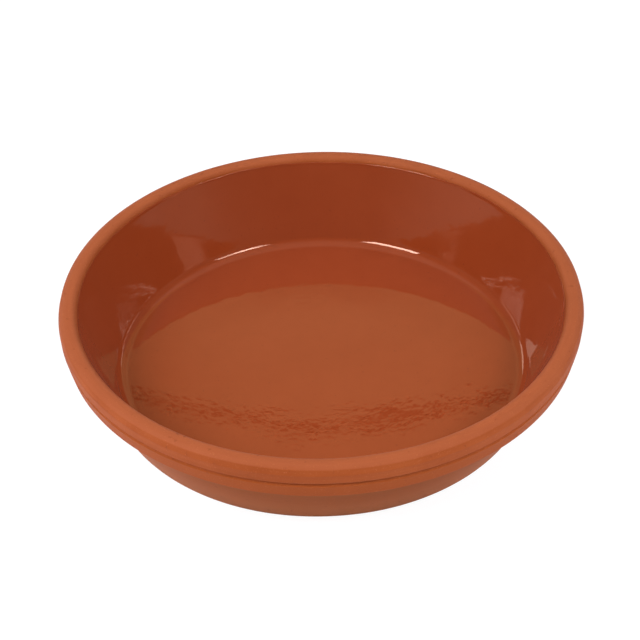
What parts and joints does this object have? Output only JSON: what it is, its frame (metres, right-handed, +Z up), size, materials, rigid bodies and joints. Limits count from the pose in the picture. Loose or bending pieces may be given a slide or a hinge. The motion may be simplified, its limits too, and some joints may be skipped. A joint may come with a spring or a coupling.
{
  "type": "plant saucer",
  "caption": "Round terracotta plant saucer with a flat base, flared wall, grooved rolled rim and a clear-glazed inside, to stand under a pot and catch its water.",
  "frame": {"origin": "middle of the base, on the surface that the saucer stands on", "axes": "+Z up along the turning axis; X and Y are any two level directions, because the saucer is round"},
  "size_m": [0.21, 0.21, 0.0423],
  "materials": {
    "terracotta": "matt unglazed fired red clay with fine turning lines",
    "glaze": "glossy clear glaze over red clay, with a fine ripple"
  },
  "bodies": {
    "root": {"terracotta_body": "terracotta", "inner_glaze": "glaze"}
  },
  "joints": []
}
